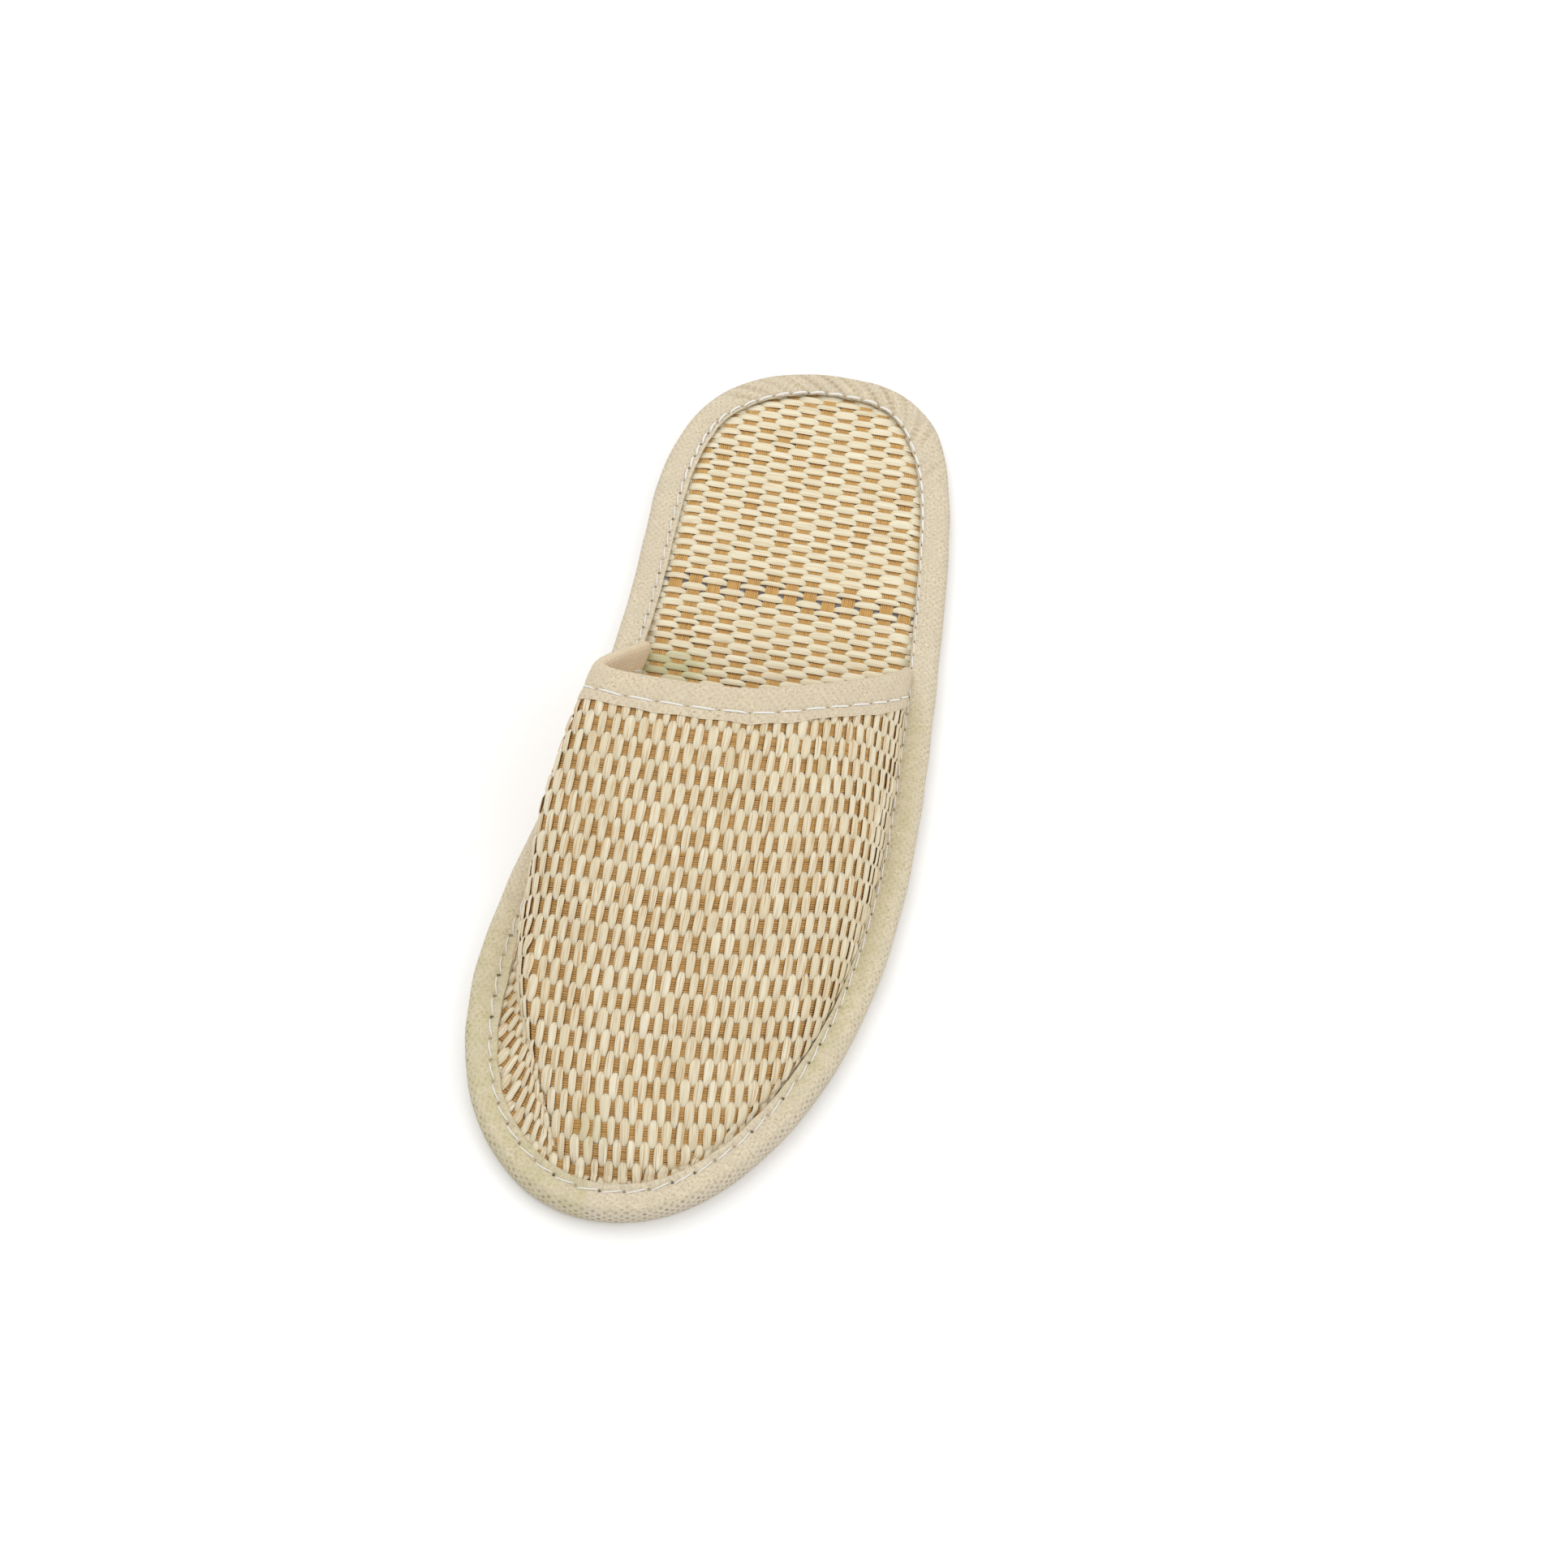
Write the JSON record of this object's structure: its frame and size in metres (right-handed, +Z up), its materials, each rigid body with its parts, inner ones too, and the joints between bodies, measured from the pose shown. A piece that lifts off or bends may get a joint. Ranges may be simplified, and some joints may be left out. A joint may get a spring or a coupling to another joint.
{
  "type": "hotel slipper",
  "caption": "Backless hotel slipper for the left foot: woven straw upper and insole on a thin cork sole, with its edge and collar bound in non-woven tape.",
  "frame": {"origin": "centre of the slipper's footprint, on the floor", "axes": "toe to -Y, heel to +Y, lateral (little-toe) side to +X, +Z up"},
  "size_m": [0.1077, 0.285, 0.05],
  "materials": {
    "cork": "fine granular cork board",
    "insole_straw": "plain-woven cream straw over tan threads, soft sheen",
    "upper_straw": "plain-woven cream straw over tan threads, soft sheen",
    "edge_tape": "matt non-woven tape, dot-embossed",
    "collar_tape": "matt non-woven tape, dot-embossed"
  },
  "bodies": {
    "root": {"outsole": "cork", "insole": "insole_straw", "upper": "upper_straw", "edge_binding": "edge_tape", "collar_binding": "collar_tape"}
  },
  "joints": []
}
